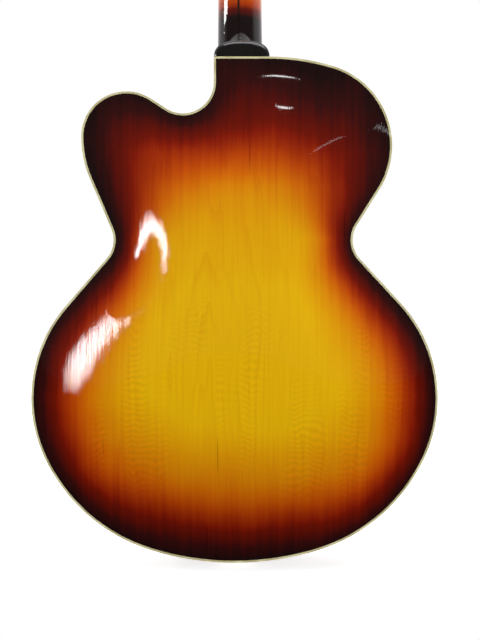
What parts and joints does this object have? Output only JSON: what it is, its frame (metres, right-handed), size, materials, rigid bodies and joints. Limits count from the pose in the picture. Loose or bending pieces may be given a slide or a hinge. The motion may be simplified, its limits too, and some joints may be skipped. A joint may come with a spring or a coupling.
{
  "type": "archtop guitar",
  "caption": "Hollow archtop guitar with a rounded cutaway, arched back and top, f-shaped sound holes, worm-gear tuning machines, adjustable floating bridge and hinged tailpiece.",
  "frame": {"origin": "seat of the end pin: centre line of the tail, half way through the depth of the sides", "axes": "+Z from the tail to the headstock, +Y out of the top towards the strings, +X to the bass side; the back faces -Y"},
  "size_m": [0.432, 0.1491, 1.0883],
  "materials": {
    "flamed_back": "gloss",
    "flamed_side": "gloss",
    "spruce_top": "gloss",
    "neck_wood": "gloss",
    "dark_strip": "gloss",
    "inner_wood": "matte",
    "cream_binding": "gloss",
    "black_line": "gloss",
    "black_gloss": "gloss",
    "tortoise": "gloss",
    "ebony": "satin",
    "pearl": "gloss",
    "bone": "satin",
    "nickel": "polished",
    "steel": "satin",
    "string_steel": "satin",
    "brass_parts": "polished"
  },
  "bodies": {
    "guitar": {"back_binding": "cream_binding", "back_lining": "inner_wood", "back_plate": "flamed_back", "back_purfling": "black_line", "bridge_base": "ebony", "bridge_posts": "brass_parts", "end_pin": "nickel", "fret_markers": "pearl", "fretboard": "ebony", "fretboard_binding": "cream_binding", "frets": "nickel", "headstock_veneer": "black_gloss", "heel_cap": "black_gloss", "neck_bass_half": "neck_wood", "neck_block": "inner_wood", "neck_centre_strip": "dark_strip", "neck_treble_half": "neck_wood", "nut": "bone", "pickguard": "tortoise", "pickguard_bracket": "nickel", "side_bass": "flamed_side", "side_treble": "flamed_side", "string_1": "string_steel", "string_2": "string_steel", "string_3": "string_steel", "string_4": "string_steel", "string_5": "string_steel", "string_6": "string_steel", "tail_block": "inner_wood", "tailpiece": "nickel", "tailpiece_bracket": "nickel", "tailpiece_hinge_pin": "nickel", "tailpiece_screws": "nickel", "tone_bars": "inner_wood", "top_binding": "cream_binding", "top_lining": "inner_wood", "top_plate": "spruce_top", "top_purfling": "black_line", "truss_rod": "steel", "truss_rod_cover": "black_gloss", "truss_rod_filler": "inner_wood", "tuner_bushings": "nickel", "tuner_housings": "nickel"},
    "tuner_button_1": {"tuner_button_1": "nickel"},
    "tuner_post_1": {"tuner_post_1": "nickel"},
    "tuner_button_2": {"tuner_button_2": "nickel"},
    "tuner_post_2": {"tuner_post_2": "nickel"},
    "tuner_button_3": {"tuner_button_3": "nickel"},
    "tuner_post_3": {"tuner_post_3": "nickel"},
    "tuner_button_4": {"tuner_button_4": "nickel"},
    "tuner_post_4": {"tuner_post_4": "nickel"},
    "tuner_button_5": {"tuner_button_5": "nickel"},
    "tuner_post_5": {"tuner_post_5": "nickel"},
    "tuner_button_6": {"tuner_button_6": "nickel"},
    "tuner_post_6": {"tuner_post_6": "nickel"},
    "bridge_saddle": {"bridge_saddle": "ebony"},
    "thumbwheel_bass": {"thumbwheel_bass": "brass_parts"},
    "thumbwheel_treble": {"thumbwheel_treble": "brass_parts"},
    "truss_rod_nut": {"truss_rod_nut": "brass_parts"}
  },
  "joints": [
    {"name": "tuner_1_button", "type": "hinge", "parent": "guitar", "child": "tuner_button_1", "pos_m": [0.02109, 0.00032, 0.9293], "axis": [1, 0, 0], "continuous": true},
    {"name": "tuner_1_post", "type": "hinge", "parent": "guitar", "child": "tuner_post_1", "pos_m": [0.02109, 0.01726, 0.94306], "axis": [0, 0.9455, 0.3256], "continuous": true, "deforming": ["string_6"]},
    {"name": "tuner_2_button", "type": "hinge", "parent": "guitar", "child": "tuner_button_2", "pos_m": [0.02375, -0.01401, 0.9709], "axis": [1, 0, 0], "continuous": true},
    {"name": "tuner_2_post", "type": "hinge", "parent": "guitar", "child": "tuner_post_2", "pos_m": [0.02375, 0.00293, 0.98467], "axis": [0, 0.9455, 0.3256], "continuous": true, "deforming": ["string_5"]},
    {"name": "tuner_3_button", "type": "hinge", "parent": "guitar", "child": "tuner_button_3", "pos_m": [0.0264, -0.02833, 1.0125], "axis": [1, 0, 0], "continuous": true},
    {"name": "tuner_3_post", "type": "hinge", "parent": "guitar", "child": "tuner_post_3", "pos_m": [0.0264, -0.01139, 1.02627], "axis": [0, 0.9455, 0.3256], "continuous": true, "deforming": ["string_4"]},
    {"name": "tuner_4_button", "type": "hinge", "parent": "guitar", "child": "tuner_button_4", "pos_m": [-0.02109, 0.00032, 0.9293], "axis": [-1, 0, 0], "continuous": true},
    {"name": "tuner_4_post", "type": "hinge", "parent": "guitar", "child": "tuner_post_4", "pos_m": [-0.02109, 0.01726, 0.94306], "axis": [0, 0.9455, 0.3256], "continuous": true, "deforming": ["string_1"]},
    {"name": "tuner_5_button", "type": "hinge", "parent": "guitar", "child": "tuner_button_5", "pos_m": [-0.02375, -0.01401, 0.9709], "axis": [-1, 0, 0], "continuous": true},
    {"name": "tuner_5_post", "type": "hinge", "parent": "guitar", "child": "tuner_post_5", "pos_m": [-0.02375, 0.00293, 0.98467], "axis": [0, 0.9455, 0.3256], "continuous": true, "deforming": ["string_2"]},
    {"name": "tuner_6_button", "type": "hinge", "parent": "guitar", "child": "tuner_button_6", "pos_m": [-0.0264, -0.02833, 1.0125], "axis": [-1, 0, 0], "continuous": true},
    {"name": "tuner_6_post", "type": "hinge", "parent": "guitar", "child": "tuner_post_6", "pos_m": [-0.0264, -0.01139, 1.02627], "axis": [0, 0.9455, 0.3256], "continuous": true, "deforming": ["string_3"]},
    {"name": "bridge_height", "type": "slide", "parent": "guitar", "child": "bridge_saddle", "axis": [0, 1, 0], "range_m": [-0.0015, 0.0025]},
    {"name": "thumbwheel_bass_turn", "type": "hinge", "parent": "bridge_saddle", "child": "thumbwheel_bass", "pos_m": [0.037, 0.07447, 0.25086], "axis": [0, 1, 0], "range_deg": [-674, 1124]},
    {"name": "thumbwheel_treble_turn", "type": "hinge", "parent": "bridge_saddle", "child": "thumbwheel_treble", "pos_m": [-0.037, 0.07447, 0.25086], "axis": [0, 1, 0], "range_deg": [-674, 1124]},
    {"name": "truss_rod_nut_turn", "type": "hinge", "parent": "guitar", "child": "truss_rod_nut", "pos_m": [0, 0.02162, 0.90778], "axis": [0, -0.0698, 0.9976], "range_deg": [-180, 180]}
  ],
  "couplings": [
    {"joint": "tuner_1_post", "follows": "tuner_1_button", "ratio": 0.066667},
    {"joint": "tuner_2_post", "follows": "tuner_2_button", "ratio": 0.066667},
    {"joint": "tuner_3_post", "follows": "tuner_3_button", "ratio": 0.066667},
    {"joint": "tuner_4_post", "follows": "tuner_4_button", "ratio": -0.066667},
    {"joint": "tuner_5_post", "follows": "tuner_5_button", "ratio": -0.066667},
    {"joint": "tuner_6_post", "follows": "tuner_6_button", "ratio": -0.066667},
    {"joint": "bridge_height", "follows": "thumbwheel_bass_turn", "m_per_rad": 0.00012732},
    {"joint": "thumbwheel_treble_turn", "follows": "thumbwheel_bass_turn", "ratio": 1}
  ]
}
